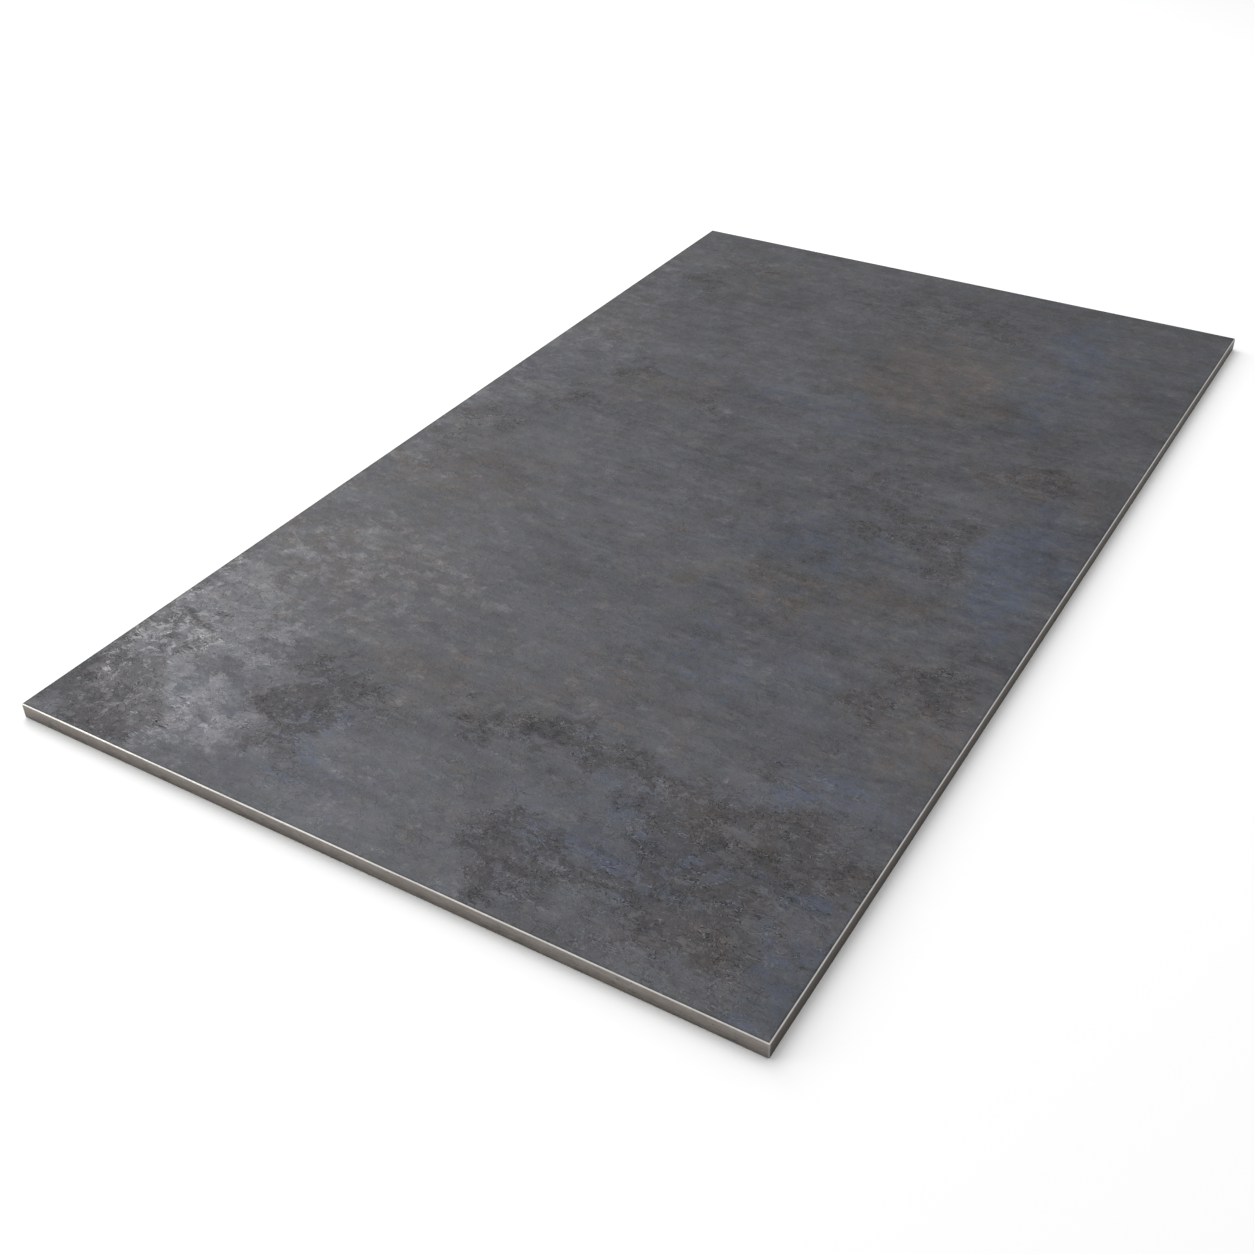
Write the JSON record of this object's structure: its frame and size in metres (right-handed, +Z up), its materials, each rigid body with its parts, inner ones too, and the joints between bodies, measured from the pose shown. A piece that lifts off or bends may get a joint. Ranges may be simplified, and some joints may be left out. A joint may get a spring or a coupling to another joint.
{
  "type": "steel plate",
  "caption": "Flat rectangular hot-rolled steel plate, one piece, with ground edges; raw stock to be cut, drilled, bolted or welded.",
  "frame": {"origin": "middle of the plate's underside, on the surface it lies on", "axes": "+Y along the length, which is the rolling direction; +X across the width; +Z up, out of the top face"},
  "size_m": [0.7, 1.2, 0.015],
  "materials": {
    "steel": "satin"
  },
  "bodies": {
    "root": {"plate": "steel"}
  },
  "joints": []
}
